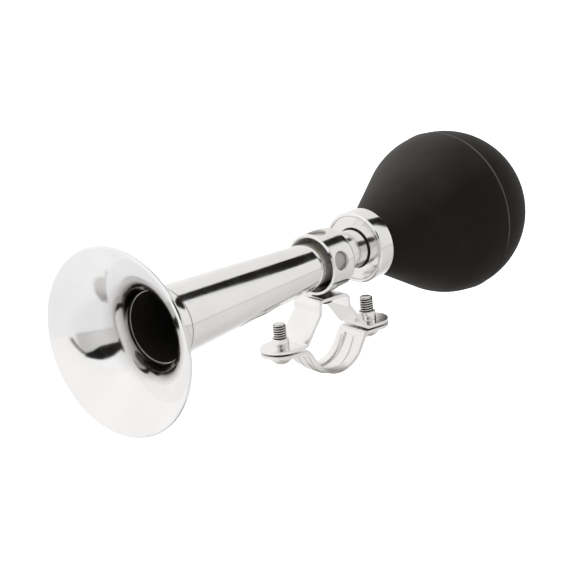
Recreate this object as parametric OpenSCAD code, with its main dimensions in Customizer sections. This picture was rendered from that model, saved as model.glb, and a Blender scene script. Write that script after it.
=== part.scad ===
// Bicycle horn with a squeeze bulb and a handlebar clamp, as separate pieces.
// The handlebar runs along Y through the origin, Z is up and the bell points to minus X.
// Horn pieces are drawn along their own axis u, bell at negative u, and turned by swivel_rest.

/* [Handlebar clamp] */
// radius of the handlebar that the clamp closes on
bar_r = 11.1; // [10.8:0.1:12.7]
// width of both straps along the handlebar
strap_width = 15; // [13:0.5:18]
// thickness of the strap sheet
sheet = 1.2; // [1:0.1:1.6]
// distance between the two screw axes
screw_spacing = 39.8; // [38:0.2:44]
// gap between upper and lower ears with the bar clamped
ear_gap = 0.6; // [0.6:0.1:2]
// height of the bracket's flat top above the bar
bracket_rise = 5.0; // [4.6:0.1:7]
// width of the bracket's flat top
bracket_top = 14.2; // [13:0.2:16]
// angle from the ears' plane at which the bracket's legs bear on the bar
leg_angle = 36; // [34:1:38]
// angle from the ears' plane at which the lower strap leaves the bar
strap_angle = 31; // [28:1:36]
// width of the pressed bead on the lower strap
bead_width = 7.5; // [6:0.5:9]
// height of the pressed bead
bead_height = 0.7; // [0.5:0.1:0.9]
// how far the bead runs up each straight leg of the strap
bead_run = 3.7; // [2:0.1:3.9]

/* [Clamp screws] */
// radius of the screw over its thread
screw_r = 2.45; // [2.2:0.05:2.7]
// length of the screw below its head
screw_length = 11.3; // [11:0.1:16]
// radius of the domed head
head_r = 4.3; // [3.9:0.1:4.8]
// height of the domed head
head_height = 3.9; // [3.2:0.1:4.2]
// outer radius of the drawn threaded bosses
boss_r = 3.1; // [3:0.05:3.4]
// height of the bosses above the ear
boss_height = 3.0; // [2:0.1:3.4]

/* [Bell] */
// outer radius of the bell's rim
rim_r = 32.9; // [30:0.5:38]
// depth of the flare from rim to throat
bell_depth = 18.6; // [16:0.2:26]
// thickness of the bell's metal
bell_wall = 0.7; // [0.6:0.1:1]
// radius of the rolled lip
lip_r = 0.75; // [0.7:0.05:1]
// length of the bell's sleeve on the tube
sleeve_length = 3.8; // [3:0.2:8]
// how steeply the flare opens
flare_power = 2.3; // [2:0.1:2.7]
// share of the flare that opens evenly from the throat, the rest opens by the power
flare_start = 0.3; // [0.2:0.05:0.4]

/* [Tube] */
// outer radius of the tube at the bell
tube_front_r = 12.93; // [12:0.1:14]
// outer radius of the tube at the collar
tube_rear_r = 7.6; // [7:0.1:7.8]
// length of the tube
tube_length = 89.2; // [80:1:140]
// wall of the tube
tube_wall = 0.5; // [0.4:0.05:0.8]

/* [Collar] */
// outer radius of the collar
collar_r = 11.1; // [10.8:0.1:12]
// wall around the collar's front recess
collar_wall = 1.1; // [1:0.05:1.3]
// length of the collar
collar_length = 11.9; // [11.6:0.1:14]
// radius of the round side holes
side_hole_r = 3.4; // [2.8:0.05:3.4]
// number of side holes, the lowest one takes the rivet
side_holes = 4; // [2:2:6]
// how far the holes beside the swivel's are turned from level
side_hole_turn = 10; // [0:1:14]

/* [Neck and ferrule] */
// outer radius of the neck between collar and ferrule
neck_r = 7.0; // [6.6:0.1:7.2]
// visible length of the neck
neck_length = 11.8; // [10:0.2:20]
// outer radius of the ferrule
ferrule_r = 13.1; // [12.8:0.1:14.5]
// length of the ferrule
ferrule_length = 6.9; // [6.5:0.1:9]
// length of the neck's barbed end inside the bulb
spigot_length = 8; // [7:0.5:10]
// radius of the ferrule's rounded front edge
ferrule_edge = 1.1; // [0.6:0.1:1.2]
// width of the open seam between the ferrule's face and its outer ring
seam_width = 0.25; // [0.15:0.05:0.4]
// depth of the seam
seam_depth = 0.5; // [0.3:0.1:0.8]

/* [Bulb] */
// outer radius of the bulb
bulb_r = 30; // [26:0.5:36]
// distance from the ferrule's rear edge to the middle of the bulb
bulb_reach = 45.95; // [42:0.5:56]
// wall of the bulb
bulb_wall = 2.6; // [2:0.1:3.5]
// radius of the bulb's neck at the ferrule
bulb_neck_r = 9.8; // [9.6:0.1:10.4]
// height of the moulded parting line round the bulb
parting_height = 0.2; // [0.1:0.05:0.4]
// thickness of the parting line
parting_width = 0.8; // [0.6:0.1:1.2]

/* [Reed] */
// length of the brass plug that holds the reed
holder_length = 10; // [8:0.5:10.5]
// length of the reed tongue
tongue_length = 16; // [14:0.5:17]
// width of the reed tongue
tongue_width = 4.6; // [4:0.1:5]
// thickness of the reed tongue
tongue_thick = 0.3; // [0.2:0.05:0.35]
// width of the window in the trough under the tongue
window_width = 2.8; // [2.2:0.1:3.2]
// angle by which the tongue stands open at rest
tongue_open = 1.6; // [1.2:0.1:1.8]

/* [Pose] */
// angle of the horn on its swivel, as in the photograph
swivel_rest = 10.5; // [-40:0.5:40]

/* [Hidden] */
$fn = 72;
body_gap = 0.3;
run_fit = 0.05;
seat_fit = 0.02;
rubber_fit = 0.1;
cut = 0.5;

clamp_fit = 0.1;
bore_r = bar_r + clamp_fit;
bracket_z = bar_r + bracket_rise;
horn_height = bracket_z + body_gap + collar_r;
ring_r = bore_r + sheet;
bend_r = 1.2;
leg_reach = 3;
ear_top = ear_gap / 2 + sheet;
ear_r = strap_width / 2;
screw_x = screw_spacing / 2;
leg_x = bracket_top / 2;
leg_top = (bar_r + sheet - leg_x * cos(leg_angle)) / sin(leg_angle) - 0.05;

collar_front = -4.4;
collar_rear = collar_front + collar_length;
collar_bore = collar_r - collar_wall;
web_front = collar_rear - 2.9;
tube_rear = web_front + 1.4;
tube_front = tube_rear - tube_length;
taper = (tube_front_r - tube_rear_r) / tube_length;
throat_u = tube_front - 0.8;
rim_u = throat_u - bell_depth;
throat_r = tube_front_r + seat_fit;

neck_screw_r = 6.0;
neck_bore = 5.2;
neck_rear = collar_rear + neck_length;
shell_front = neck_rear - 0.15;
shell_rear = shell_front + ferrule_length;
face_front = shell_front + 0.2;
face_rear = face_front + 1.25;
lip_bore = ferrule_r - 1.3;
shell_bore = ferrule_r - 0.9;
rear_lip = 1.75;
gasket_r = neck_r + 0.4;
spigot_r = neck_r - 0.5;
spigot_rear = shell_rear + spigot_length;
bulb_u = shell_rear + bulb_reach;

rivet_r = side_hole_r - run_fit;
rivet_head_r = side_hole_r + 0.95;
washer_z = bracket_z - sheet - body_gap;
washer_thick = 0.6;
rivet_foot = 1.2;

holder_front = collar_rear + 1.2;
holder_rear = holder_front + holder_length;
reed_r = 3.25;
window_inset = 2;
hinge_u = holder_rear - 1.6;
shallot_rear = hinge_u + tongue_length;

// puts a piece that is drawn along its own axis onto the horn's axis
module on_horn() {
  translate([0, 0, horn_height])
    rotate([0, 0, swivel_rest])
      rotate([0, 90, 0])
        children();
}

// outer radius of the tube at a place along the horn
function tube_r(u) = tube_rear_r + taper * (tube_rear - u);

// inner radius of the flare, s runs from 0 at the throat to 1 at the lip
flare_width = rim_r - 1.45 * lip_r - throat_r;
flare_length = bell_depth - 0.1 * lip_r;
function flare_r(s) = throat_r + flare_width * (flare_start * s + (1 - flare_start) * pow(s, flare_power));
function flare_u(s) = throat_u - flare_length * s;
function flare_slope(s) = flare_width / flare_length
  * (flare_start + (1 - flare_start) * flare_power * pow(s, flare_power - 1));

// point of the flare's outside, one wall away along the surface's own direction
function flare_out(s) = let (k = sqrt(1 + flare_slope(s) * flare_slope(s)))
  [flare_r(s) + bell_wall / k, flare_u(s) + bell_wall * flare_slope(s) / k];

flare_steps = 13;

// spun bell with a rolled lip and a sleeve on the tube
module bell_flare() {
  sleeve_end = throat_u + sleeve_length;
  color([0.82, 0.82, 0.84])
    on_horn()
      rotate_extrude() {
        polygon(concat(
          [for (i = [0 : flare_steps]) [flare_r(i / flare_steps), flare_u(i / flare_steps)]],
          [for (i = [flare_steps : -1 : 0]) flare_out(i / flare_steps)],
          [[tube_r(sleeve_end) + seat_fit + bell_wall, sleeve_end],
           [tube_r(sleeve_end) + seat_fit, sleeve_end],
           [tube_r(tube_front) + seat_fit, tube_front]]
        ));
        translate([rim_r - lip_r, rim_u + lip_r])
          circle(r = lip_r);
      }
}

// tapered tube, its front edge stands in the bell's throat
module horn_tube() {
  color([0.8, 0.8, 0.82])
    on_horn()
      difference() {
        translate([0, 0, tube_front])
          cylinder(h = tube_length, r1 = tube_front_r, r2 = tube_rear_r);
        translate([0, 0, tube_front - cut])
          cylinder(h = tube_length + 2 * cut, r1 = tube_front_r - tube_wall + cut * taper,
                   r2 = tube_rear_r - tube_wall - cut * taper);
      }
}

// outline of a ring with its outer front and rear edges rounded
module rounded_ring(inner, outer, from, to, front_edge, rear_edge) {
  translate([inner, from + front_edge])
    square([outer - inner, to - from - front_edge - rear_edge]);
  translate([inner, from])
    square([outer - inner - front_edge, front_edge + 0.01]);
  translate([inner, to - rear_edge - 0.01])
    square([outer - inner - rear_edge, rear_edge + 0.01]);
  translate([outer - front_edge, from + front_edge])
    circle(r = front_edge);
  translate([outer - rear_edge, to - rear_edge])
    circle(r = rear_edge);
}

// collar with an open front recess, a web at the rear and round side holes
module collar() {
  color([0.78, 0.78, 0.8])
    on_horn()
      difference() {
        rotate_extrude()
          rounded_ring(0, collar_r, collar_front, collar_rear, 0.5, 1.5);
        translate([0, 0, collar_front - cut])
          cylinder(h = web_front - collar_front + cut, r = collar_bore);
        translate([0, 0, web_front - cut])
          cylinder(h = tube_rear - web_front + cut, r = tube_r(web_front) + seat_fit);
        translate([0, 0, web_front])
          cylinder(h = collar_rear - web_front + cut, r = neck_screw_r + seat_fit);
        for (i = [0 : side_holes - 1])
          rotate([0, 0, i * 360 / side_holes - (i * 360 / side_holes % 180 == 0 ? 0 : side_hole_turn)])
            rotate([0, 90, 0])
              cylinder(h = collar_r + cut, r = side_hole_r);
      }
}

// neck screwed into the collar, its rear end is the spigot in the bulb's neck
module neck_tube() {
  barb = 2.2;
  color([0.8, 0.8, 0.82])
    on_horn()
      difference() {
        union() {
          translate([0, 0, tube_rear + 0.1])
            cylinder(h = collar_rear - tube_rear, r = neck_screw_r);
          translate([0, 0, collar_rear])
            cylinder(h = shell_rear - collar_rear, r = neck_r);
          translate([0, 0, shell_rear - cut])
            cylinder(h = spigot_rear - shell_rear + cut, r = spigot_r);
          for (i = [0 : 2])
            translate([0, 0, spigot_rear - (i + 1) * barb])
              cylinder(h = barb, r1 = neck_r, r2 = spigot_r);
        }
        translate([0, 0, tube_rear - cut])
          cylinder(h = spigot_rear - tube_rear + 2 * cut, r = neck_bore);
      }
}

// black ring between the neck and the ferrule's face
module neck_gasket() {
  color([0.05, 0.05, 0.05])
    on_horn()
      rotate_extrude()
        rounded_ring(neck_r + seat_fit, gasket_r, neck_rear - 0.9, face_rear, 0.2, 0.1);
}

// flat front of the ferrule, stepped at its edge so that a seam shows round it
module ferrule_face() {
  inner = gasket_r + seat_fit;
  color([0.75, 0.75, 0.77])
    on_horn()
      rotate_extrude() {
        rounded_ring(inner, lip_bore - seam_width, face_front, face_rear, 0.2, 0.1);
        translate([inner, face_front + seam_depth])
          square([lip_bore - seat_fit - inner, face_rear - face_front - seam_depth]);
      }
}

// outer ring of the ferrule, its rear lip holds the bead of the bulb's neck
module ferrule_shell() {
  color([0.82, 0.82, 0.84])
    on_horn()
      difference() {
        rotate_extrude()
          rounded_ring(0, ferrule_r, shell_front, shell_rear, ferrule_edge, 0.4);
        translate([0, 0, shell_front - cut])
          cylinder(h = face_rear - shell_front + cut + 0.01, r = lip_bore);
        translate([0, 0, face_rear])
          cylinder(h = shell_rear - rear_lip - face_rear, r = shell_bore);
        translate([0, 0, shell_rear - rear_lip - cut])
          cylinder(h = rear_lip + 2 * cut, r = bulb_neck_r + rubber_fit);
      }
}

// length of the line from a place on the axis side to where it meets a ball tangentially
function tangent_run(reach, r0, ball) = sqrt(reach * reach + r0 * r0 - ball * ball);
function tangent_angle(reach, r0, ball) = asin(ball / sqrt(reach * reach + r0 * r0)) - atan(r0 / reach);

// cone that leaves radius r0 and runs into a ball at the given distance
module neck_cone(from, r0, reach, ball) {
  run = tangent_run(reach, r0, ball);
  angle = tangent_angle(reach, r0, ball);
  translate([0, 0, from])
    cylinder(h = run * cos(angle), r1 = r0, r2 = r0 + run * sin(angle));
}

// hollow rubber bulb with a conical neck, its front bead sits in the ferrule
module rubber_bulb() {
  bead_front = face_rear + rubber_fit;
  bead_rear = shell_rear - rear_lip - rubber_fit;
  cavity_u = spigot_rear - 1.5;
  color([0.06, 0.06, 0.06])
    on_horn()
      difference() {
        union() {
          translate([0, 0, bead_front])
            cylinder(h = bead_rear - bead_front, r = shell_bore - rubber_fit);
          translate([0, 0, bead_front])
            cylinder(h = shell_rear - bead_front + 0.01, r = bulb_neck_r);
          neck_cone(shell_rear, bulb_neck_r, bulb_reach, bulb_r);
          translate([0, 0, bulb_u])
            sphere(r = bulb_r);
          rotate_extrude()
            translate([bulb_r + parting_height - parting_width / 2, bulb_u])
              circle(d = parting_width);
        }
        translate([0, 0, bead_front - cut])
          cylinder(h = cavity_u - bead_front + 2 * cut, r = neck_r + rubber_fit);
        neck_cone(cavity_u, neck_r + rubber_fit, bulb_u - cavity_u, bulb_r - bulb_wall);
        translate([0, 0, bulb_u])
          sphere(r = bulb_r - bulb_wall);
      }
}

// rivet through the collar's lowest side hole and the bracket's flat top
module swivel_rivet() {
  head_low = collar_bore - 1.4;
  color([0.72, 0.72, 0.74]) {
    translate([0, 0, horn_height])
      rotate([0, 0, swivel_rest])
        intersection() {
          translate([0, 0, -collar_bore - cut])
            cylinder(h = collar_bore, r = rivet_head_r);
          rotate([0, 90, 0])
            difference() {
              translate([0, 0, -rivet_head_r - cut])
                cylinder(h = 2 * rivet_head_r + 2 * cut, r = collar_bore - seat_fit);
              translate([0, 0, -rivet_head_r - 2 * cut])
                cylinder(h = 2 * rivet_head_r + 4 * cut, r = head_low);
            }
        }
    translate([0, 0, washer_z - washer_thick - rivet_foot])
      cylinder(h = horn_height - head_low - 0.3 - washer_z + washer_thick + rivet_foot, r = rivet_r);
    translate([0, 0, washer_z - washer_thick - rivet_foot])
      cylinder(h = rivet_foot, r1 = rivet_head_r - 0.7, r2 = rivet_head_r);
  }
}

// thin washer above the rivet's formed head
module swivel_washer() {
  color([0.6, 0.6, 0.62])
    translate([0, 0, washer_z - washer_thick])
      difference() {
        cylinder(h = washer_thick, r = rivet_head_r + 0.3);
        translate([0, 0, -cut])
          cylinder(h = washer_thick + 2 * cut, r = rivet_r + seat_fit);
      }
}

// turns an outline drawn in X and Z into a strap along the handlebar
module along_bar(width) {
  rotate([90, 0, 0])
    linear_extrude(height = width, center = true)
      children();
}

// plan outline of the ears: straight sides and round ends about the screws
module ear_plan(from, to) {
  translate([-screw_x, -ear_r, from])
    cube([screw_spacing, strap_width, to - from]);
  for (side = [-1, 1])
    translate([side * screw_x, 0, from])
      cylinder(h = to - from, r = ear_r);
}

// square with its two upper corners rounded
module soft_top(half, low, high, edge) {
  translate([-half, low])
    square([2 * half, high - low - edge]);
  translate([-half + edge, high - edge - 0.01])
    square([2 * half - 2 * edge, edge + 0.01]);
  for (side = [-1, 1])
    translate([side * (half - edge), high - edge])
      circle(r = edge);
}

// place along X where a leg line, at distance r from the bar's axis, meets a level
function leg_at(r, level, angle) = (r - level * sin(angle)) / cos(angle);

// round grip with straight legs that leave it tangentially, up to the ears
module leg_outline(r) {
  c = r * cos(strap_angle);
  s = r * sin(strap_angle);
  foot = leg_at(r, 0, strap_angle);
  circle(r = r);
  polygon([[-foot, 0], [-c, -s], [c, -s], [foot, 0]]);
}

// the bracket's straight legs, r is their distance from the bar's axis
module upper_legs(r) {
  high = bracket_z - leg_reach;
  foot = leg_at(r, 0, leg_angle);
  half = leg_at(r, high, leg_angle);
  polygon([[-foot, 0], [-half, high], [half, high], [foot, 0]]);
}

// metal in the hollow side of the bend between a leg's outside and its ear
module bend_fill(r, level, angle) {
  cx = leg_at(r + bend_r, level + bend_r, angle);
  start = leg_at(r, level, angle) - 0.3;
  difference() {
    polygon([[start, level - 0.3], [cx, level - 0.3], [cx, level],
      [cx - bend_r * cos(angle), level + bend_r - bend_r * sin(angle)],
      [start, level + 0.2]]);
    translate([cx, level + bend_r])
      circle(r = bend_r);
  }
}

// cut that rounds the bar side of the bend between a leg's inside and its ear
module bend_cut(r, level, angle) {
  e = bend_r + sheet;
  cx = leg_at(r + e, level + e, angle);
  start = leg_at(r, level, angle) - 0.3;
  touch = cx - e * cos(angle);
  rise = level + e - e * sin(angle);
  difference() {
    polygon([[start, level - 0.3], [cx, level - 0.3], [cx, level], [touch, rise],
      [touch - 0.3, rise], [start, level]]);
    translate([cx, level + e])
      circle(r = e);
  }
}

// bent upper strap: flat top, legs that bear on the bar, ears and drawn bosses
module clamp_bracket() {
  color([0.78, 0.78, 0.8])
    difference() {
      union() {
        intersection() {
          along_bar(strap_width)
            difference() {
              union() {
                upper_legs(bar_r + sheet);
                soft_top(leg_x, leg_top, bracket_z, 2.6);
                translate([-screw_x - ear_r, 0])
                  square([screw_spacing + strap_width, ear_top]);
                for (side = [0, 1])
                  mirror([side, 0])
                    bend_fill(bar_r + sheet, ear_top, leg_angle);
              }
              circle(r = bore_r);
              upper_legs(bar_r);
              soft_top(leg_x - sheet, leg_top - sheet, bracket_z - sheet, 1.4);
              for (side = [0, 1])
                mirror([side, 0])
                  bend_cut(bar_r, ear_gap / 2, leg_angle);
              translate([-screw_spacing, -screw_spacing + ear_gap / 2])
                square([2 * screw_spacing, screw_spacing]);
            }
          ear_plan(-1, bracket_z + 1);
        }
        for (side = [-1, 1])
          translate([side * screw_x, 0, ear_top - 0.01])
            cylinder(h = boss_height + 0.01, r = boss_r);
      }
      for (side = [-1, 1])
        translate([side * screw_x, 0, 0])
          cylinder(h = ear_top + boss_height + 1, r = screw_r + run_fit);
      translate([0, 0, bracket_z - sheet - 1])
        cylinder(h = sheet + 2, r = rivet_r + run_fit);
    }
}

// lower strap: round grip, straight legs, pressed bead and two ears
module lower_strap() {
  color([0.78, 0.78, 0.8])
    difference() {
      union() {
        intersection() {
          along_bar(strap_width)
            difference() {
              union() {
                leg_outline(ring_r);
                translate([-screw_x - ear_r, -ear_top])
                  square([screw_spacing + strap_width, ear_top]);
                for (side = [0, 1])
                  mirror([side, 0])
                    mirror([0, 1])
                      bend_fill(ring_r, ear_top, strap_angle);
              }
              leg_outline(bore_r);
              for (side = [0, 1])
                mirror([side, 0])
                  mirror([0, 1])
                    bend_cut(bore_r, ear_gap / 2, strap_angle);
              translate([-screw_spacing, -ear_gap / 2])
                square([2 * screw_spacing, screw_spacing]);
            }
          ear_plan(-ring_r - 1, 1);
        }
        bead_body(ring_r, bead_width / 2, bead_run);
      }
      bead_body(bore_r, bead_width / 2 - 0.41 * sheet, bead_run - sheet / 2);
      for (side = [-1, 1])
        translate([side * screw_x, 0, -ear_top - 1])
          cylinder(h = ear_top + 2, r = screw_r + body_gap);
    }
}

// section of the pressed bead, its slanted sides start below the surface that carries it
module bead_section(half) {
  root = 0.4;
  polygon([[-root, -half - root], [bead_height, -half + bead_height],
    [bead_height, half - bead_height], [-root, half + root]]);
}

// flat-topped ridge on the strap's round grip that runs on up both straight legs
module bead_body(surface, half, run) {
  from = strap_angle + 2;
  overlap = 0.6;
  rotate([90, 0, 0]) {
    rotate([0, 0, -180 + from])
      rotate_extrude(angle = 180 - 2 * from)
        translate([surface, 0])
          bead_section(half);
    for (side = [0, 1])
      mirror([side, 0])
        rotate([0, 0, -strap_angle])
          translate([surface, -overlap])
            rotate([-90, 0, 0])
              linear_extrude(height = overlap + run)
                bead_section(half);
  }
}

// clamp screw from below: thread body, chamfered end, domed slotted head
module clamp_screw(side, slot_angle) {
  color([0.7, 0.7, 0.72])
    translate([side * screw_x, 0, -ear_top])
      difference() {
        union() {
          cylinder(h = screw_length - 0.6, r = screw_r);
          translate([0, 0, screw_length - 0.6])
            cylinder(h = 0.6, r1 = screw_r, r2 = screw_r - 0.6);
          translate([0, 0, -0.8])
            cylinder(h = 0.8, r = head_r);
          intersection() {
            translate([0, 0, -0.8 - head_height])
              cylinder(h = head_height, r = head_r);
            translate([0, 0, -0.8 - (head_height - 0.8) + dome_r])
              sphere(r = dome_r);
          }
        }
        rotate([0, 0, slot_angle])
          translate([-head_r - 1, -0.6, -head_height - 1])
            cube([2 * head_r + 2, 1.2, 2.3]);
      }
}
dome_rise = head_height - 0.8;
dome_r = (head_r * head_r + dome_rise * dome_rise) / (2 * dome_rise);

module clamp_screw_front() {
  clamp_screw(-1, 20);
}

module clamp_screw_rear() {
  clamp_screw(1, -35);
}

// brass plug in the neck that carries the reed
module reed_holder() {
  color([0.8, 0.65, 0.3])
    on_horn()
      difference() {
        translate([0, 0, holder_front])
          cylinder(h = holder_rear - holder_front, r = neck_bore - seat_fit);
        translate([0, 0, holder_front - cut])
          cylinder(h = holder_rear - holder_front + 2 * cut, r = reed_r + seat_fit);
      }
}

// the reed pieces are drawn in the horn's upright frame, u along X
module in_horn() {
  translate([0, 0, horn_height])
    rotate([0, 0, swivel_rest])
      children();
}

// half-round trough with a flat open face, closed at the bulb end
module reed_shallot() {
  front = holder_front + 0.5;
  color([0.82, 0.68, 0.32])
    in_horn()
      difference() {
        intersection() {
          translate([front, 0, 0])
            rotate([0, 90, 0])
              cylinder(h = shallot_rear - front, r = reed_r);
          translate([front - 1, -reed_r - 1, -reed_r - 1])
            cube([shallot_rear - front + 2, 2 * reed_r + 2, reed_r + 1]);
        }
        translate([front - cut, 0, -0.5])
          rotate([0, 90, 0])
            cylinder(h = shallot_rear - front - 1.0, r = 1.9);
        translate([hinge_u + window_inset, -window_width / 2, -1])
          cube([tongue_length - 2 * window_inset, window_width, 2]);
      }
}

// thin strip that sounds, standing open over the trough
module reed_tongue() {
  color([0.85, 0.7, 0.3])
    in_horn()
      translate([hinge_u, 0, 0.08])
        rotate([0, -tongue_open, 0])
          translate([-1.2, -tongue_width / 2, 0])
            cube([tongue_length + 1.4, tongue_width, tongue_thick]);
}

// half-round wedge above the tongue's root
module reed_wedge() {
  low = 0.08 + tongue_thick + 0.1;
  color([0.78, 0.62, 0.28])
    in_horn()
      intersection() {
        translate([holder_front + 2, 0, 0])
          rotate([0, 90, 0])
            cylinder(h = hinge_u - holder_front - 2, r = reed_r);
        union() {
          translate([holder_front, -reed_r - 1, low])
            cube([hinge_u - holder_front, 2 * reed_r + 2, reed_r]);
          translate([holder_front, -reed_r - 1, seat_fit])
            cube([hinge_u - holder_front - 1.6, 2 * reed_r + 2, reed_r]);
        }
      }
}

bell_flare();
horn_tube();
collar();
neck_tube();
neck_gasket();
ferrule_face();
ferrule_shell();
rubber_bulb();
swivel_rivet();
swivel_washer();
clamp_bracket();
lower_strap();
clamp_screw_front();
clamp_screw_rear();
reed_holder();
reed_shallot();
reed_tongue();
reed_wedge();
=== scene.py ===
"""Looks for a squeeze-bulb bicycle horn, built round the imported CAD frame.

Sizes are written in millimetres as in the part's source and turned into metres when a mesh is made.
The horn's own axis is u, bell at negative u; it lies at height HORN_Z and is turned by YAW.
"""
import math

import bmesh
import bpy
from mathutils import Matrix, Vector, noise


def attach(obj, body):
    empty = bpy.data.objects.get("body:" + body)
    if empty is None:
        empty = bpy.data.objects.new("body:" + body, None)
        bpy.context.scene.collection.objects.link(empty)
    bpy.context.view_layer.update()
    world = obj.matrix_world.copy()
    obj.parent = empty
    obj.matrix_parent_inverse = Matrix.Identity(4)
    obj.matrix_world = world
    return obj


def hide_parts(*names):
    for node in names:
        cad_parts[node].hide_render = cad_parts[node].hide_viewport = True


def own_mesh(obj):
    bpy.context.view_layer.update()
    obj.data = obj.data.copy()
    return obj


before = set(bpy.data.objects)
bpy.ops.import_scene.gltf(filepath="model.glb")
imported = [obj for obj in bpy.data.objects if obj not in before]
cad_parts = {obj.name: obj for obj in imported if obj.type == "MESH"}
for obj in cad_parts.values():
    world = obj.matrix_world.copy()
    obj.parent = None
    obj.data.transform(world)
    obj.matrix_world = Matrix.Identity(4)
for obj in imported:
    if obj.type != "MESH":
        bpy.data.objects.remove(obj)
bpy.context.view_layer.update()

MM = 0.001
YAW = math.radians(10.5)
HORN_Z = 27.5
AXIS = Vector((math.cos(YAW), math.sin(YAW), 0))
SIDE = Vector((-math.sin(YAW), math.cos(YAW), 0))
UP = Vector((0, 0, 1))
ORIGIN = UP * HORN_Z

# sizes along the horn, as in the part's source
BELL_WALL, RIM_R, RIM_U, THROAT_U, THROAT_R = 0.7, 32.9, -102.6, -84.0, 12.95
SLEEVE_END = -80.2
TUBE_FRONT, TUBE_REAR, TUBE_R0, TUBE_R1, TUBE_WALL = -83.2, 6.0, 12.93, 7.6, 0.5
COLLAR_R, COLLAR_BORE, COLLAR_FRONT, COLLAR_REAR, WEB_U = 11.1, 10.0, -4.4, 7.5, 4.6
HOLE_R, HOLE_TURN, LINING_GAP = 3.4, math.radians(10), math.radians(38)
NECK_R, NECK_BORE, NECK_SCREW_R, SPIGOT_R = 7.0, 5.2, 6.0, 6.5
SHELL_FRONT, SHELL_REAR, SHELL_R, LIP_BORE, SHELL_BORE = 19.15, 26.05, 13.1, 11.8, 12.2
SPIGOT_REAR = 34.05
FACE_FRONT, FACE_REAR = 19.35, 20.6
GASKET_R = 7.4
BULB_U, BULB_R, BULB_WALL, BULB_NECK_R = 72.0, 30.0, 2.6, 9.8
SCREW_X, SCREW_R, SCREW_LEN, HEAD_R, HEAD_H, HEAD_SEAT = 19.9, 2.45, 11.3, 4.3, 3.9, -1.5
SHEET, GRIP_R, STRAP_HALF = 1.2, 11.8, 7.5
# clearance between pieces that touch
FIT = 0.02
# the thread as drawn, with its depth and the bevel and dome of the screw's tip
THREAD_PITCH, THREAD_DEPTH, TIP_BEVEL, TIP_DOME = 0.86, 0.46, 0.45, 0.12


def on_horn(u, side, up):
    """A place given along, beside and above the horn's axis, as a point of the frame in metres."""
    return (ORIGIN + AXIS * u + SIDE * side + UP * up) * MM


def tube_r(u):
    """Outer radius of the tapered tube."""
    return TUBE_R1 + (TUBE_R0 - TUBE_R1) * (TUBE_REAR - u) / (TUBE_REAR - TUBE_FRONT)


def limit(t):
    return min(1.0, max(0.0, t))


def ease(t):
    """Goes smoothly from 0 to 1 as t does."""
    t = limit(t)
    return t * t * (3 - 2 * t)


# Meshes

def finish_mesh(name, bm, materials, angle=35.0, merge=1e-7):
    """Turns a bmesh into a smooth-shaded object with sharp edges above an angle."""
    bmesh.ops.remove_doubles(bm, verts=bm.verts, dist=merge)
    bmesh.ops.recalc_face_normals(bm, faces=bm.faces)
    mesh = bpy.data.meshes.new(name)
    bm.to_mesh(mesh)
    bm.free()
    mesh.shade_smooth()
    mesh.set_sharp_from_angle(angle=math.radians(angle))
    for m in materials:
        mesh.materials.append(m)
    obj = bpy.data.objects.new(name, mesh)
    bpy.context.scene.collection.objects.link(obj)
    return obj


def rounded(points, steps=6):
    """Closed outline from (r, u, radius) corners, each corner turned into an arc of its radius."""
    out = []
    n = len(points)
    for i in range(n):
        p, a, b = (Vector(points[k % n][:2]) for k in (i, i - 1, i + 1))
        radius = points[i][2] if len(points[i]) > 2 else 0
        if radius <= 0:
            out.append((p.x, p.y))
            continue
        da, db = (a - p).normalized(), (b - p).normalized()
        half = da.angle(db) / 2
        run = min(radius / math.tan(half), (a - p).length * 0.49, (b - p).length * 0.49)
        r = run * math.tan(half)
        centre = p + (da + db).normalized() * (r / math.sin(half))
        start, end = p + da * run - centre, p + db * run - centre
        turn = start.angle_signed(end)
        for k in range(steps + 1):
            t = turn * k / steps
            c, s = math.cos(-t), math.sin(-t)
            q = centre + Vector((c * start.x - s * start.y, s * start.x + c * start.y))
            out.append((q.x, q.y))
    return out


def lathe_into(bm, profile, segs, closed=True, inside=None):
    """Adds a surface of revolution about the horn's axis; inside(r, u) gives a face its material index."""
    rings = []
    for r, u in profile:
        if r < 1e-6:
            rings.append([bm.verts.new(on_horn(u, 0, 0))])
        else:
            rings.append([bm.verts.new(on_horn(u, r * math.cos(t), r * math.sin(t)))
                          for t in (2 * math.pi * k / segs for k in range(segs))])
    count = len(rings) if closed else len(rings) - 1
    for i in range(count):
        a, b = rings[i], rings[(i + 1) % len(rings)]
        if len(a) == 1 and len(b) == 1:
            continue
        ra, ua = profile[i]
        rb, ub = profile[(i + 1) % len(rings)]
        index = inside((ra + rb) / 2, (ua + ub) / 2) if inside else 0
        for k in range(segs):
            n = (k + 1) % segs
            if len(a) == 1:
                f = bm.faces.new((a[0], b[k], b[n]))
            elif len(b) == 1:
                f = bm.faces.new((a[k], b[0], a[n]))
            else:
                f = bm.faces.new((a[k], b[k], b[n], a[n]))
            f.material_index = index
            f.smooth = True


def lathe(name, profile, materials, segs=256, inside=None, angle=35.0):
    bm = bmesh.new()
    lathe_into(bm, profile, segs, True, inside)
    return finish_mesh(name, bm, materials, angle)


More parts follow.
